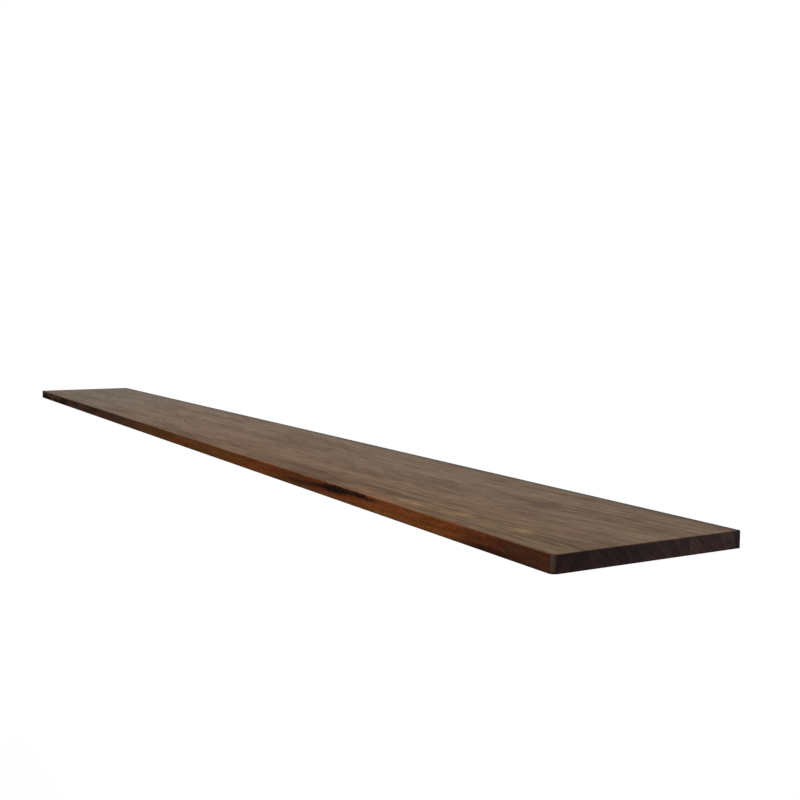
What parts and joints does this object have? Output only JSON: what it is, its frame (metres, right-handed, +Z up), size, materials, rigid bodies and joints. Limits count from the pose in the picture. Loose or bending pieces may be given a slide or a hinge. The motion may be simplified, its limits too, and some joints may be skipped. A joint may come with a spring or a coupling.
{
  "type": "floating wall shelf",
  "caption": "Thin walnut wall shelf with rounded front corners, glued up from staves and pushed onto rods hidden in its back.",
  "frame": {"origin": "on the wall's face, at the middle of the shelf's length and thickness, between the two plugs of the centre support", "axes": "+X along the shelf to the right as seen from the room, +Y into the wall, +Z up"},
  "size_m": [2, 0.246, 0.016],
  "materials": {
    "front_stave": "oiled walnut, open grain, satin",
    "second_stave": "oiled walnut, open grain, satin",
    "third_stave": "oiled walnut, open grain, satin",
    "rear_stave": "oiled walnut, open grain, satin",
    "plate_steel": "zinc-plated, satin",
    "rod_steel": "bright drawn bar, satin",
    "screw_zinc": "zinc-plated, slightly yellow",
    "plug_nylon": "moulded grey nylon"
  },
  "bodies": {
    "wall_supports": {"support_plate_left_end": "plate_steel", "support_rod_left_end": "rod_steel", "wall_screws_left_end": "screw_zinc", "wall_plugs_left_end": "plug_nylon", "support_plate_left_middle": "plate_steel", "support_rod_left_middle": "rod_steel", "wall_screws_left_middle": "screw_zinc", "wall_plugs_left_middle": "plug_nylon", "support_plate_centre": "plate_steel", "support_rod_centre": "rod_steel", "wall_screws_centre": "screw_zinc", "wall_plugs_centre": "plug_nylon", "support_plate_right_middle": "plate_steel", "support_rod_right_middle": "rod_steel", "wall_screws_right_middle": "screw_zinc", "wall_plugs_right_middle": "plug_nylon", "support_plate_right_end": "plate_steel", "support_rod_right_end": "rod_steel", "wall_screws_right_end": "screw_zinc", "wall_plugs_right_end": "plug_nylon"},
    "board": {"rear_stave": "rear_stave", "third_stave": "third_stave", "second_stave": "second_stave", "front_stave": "front_stave"}
  },
  "joints": [
    {"name": "board_slide", "type": "slide", "parent": "wall_supports", "child": "board", "axis": [0, -1, 0], "range_m": [0, 0.13]}
  ]
}
